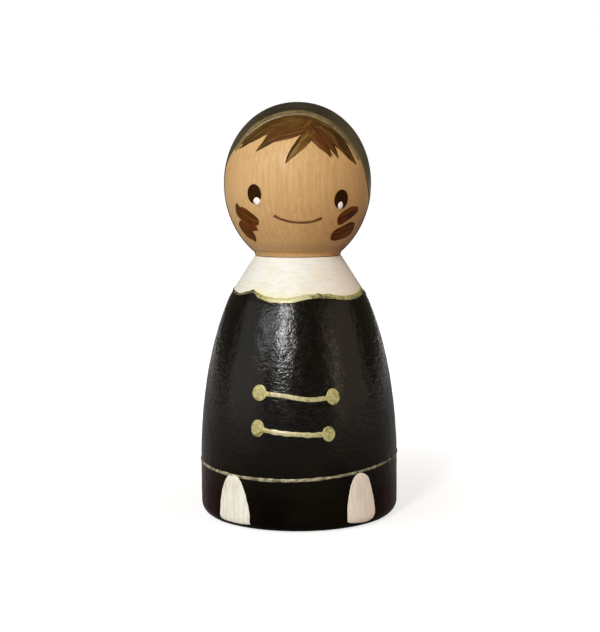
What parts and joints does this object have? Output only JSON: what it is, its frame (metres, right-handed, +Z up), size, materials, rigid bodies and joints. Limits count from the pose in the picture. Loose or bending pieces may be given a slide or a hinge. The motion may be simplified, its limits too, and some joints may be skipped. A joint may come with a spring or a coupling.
{
  "type": "peg doll",
  "caption": "Turned wooden peg doll with a bell body, an egg head that turns on a neck dowel, and a painted hood, face, collar and coat.",
  "frame": {"origin": "centre of the flat foot that the doll stands on", "axes": "+Z up along the turning axis, through the crown of the head; the face looks along -Y"},
  "size_m": [0.0404, 0.0404, 0.083],
  "materials": {
    "wood_body": "bare turned wood, under the paint",
    "wood_dowel": "plain dowel",
    "wood_head": "satin varnish over vertical grain",
    "coat_black": "brushed black acrylic under gloss varnish",
    "collar_white": "brushed white acrylic, satin",
    "stocking_white": "brushed white acrylic, satin",
    "gold_line": "pale gold acrylic, slightly raised",
    "hood_dark": "brushed dark olive-black acrylic, satin",
    "hood_line_olive": "thin dull gold line",
    "hair_brown": "streaky brown acrylic, thin",
    "eye_black": "dark brown-black acrylic",
    "glint_white": "raised dot of white acrylic",
    "smile_brown": "thin brown line"
  },
  "bodies": {
    "torso": {"turned_body": "wood_body", "neck_dowel": "wood_dowel", "coat": "coat_black", "collar": "collar_white", "collar_line": "gold_line", "hem_line": "gold_line", "frog_upper": "gold_line", "frog_lower": "gold_line", "stocking_left": "stocking_white", "stocking_right": "stocking_white"},
    "head": {"turned_head": "wood_head", "hood": "hood_dark", "hood_line": "hood_line_olive", "fringe": "hair_brown", "eye_left": "eye_black", "eye_right": "eye_black", "glint_left": "glint_white", "glint_right": "glint_white", "smile": "smile_brown", "locks_left": "hair_brown", "locks_right": "hair_brown"}
  },
  "joints": [
    {"name": "head_turn", "type": "hinge", "parent": "torso", "child": "head", "pos_m": [0, 0, 0.0523], "axis": [0, 0, 1], "continuous": true}
  ]
}
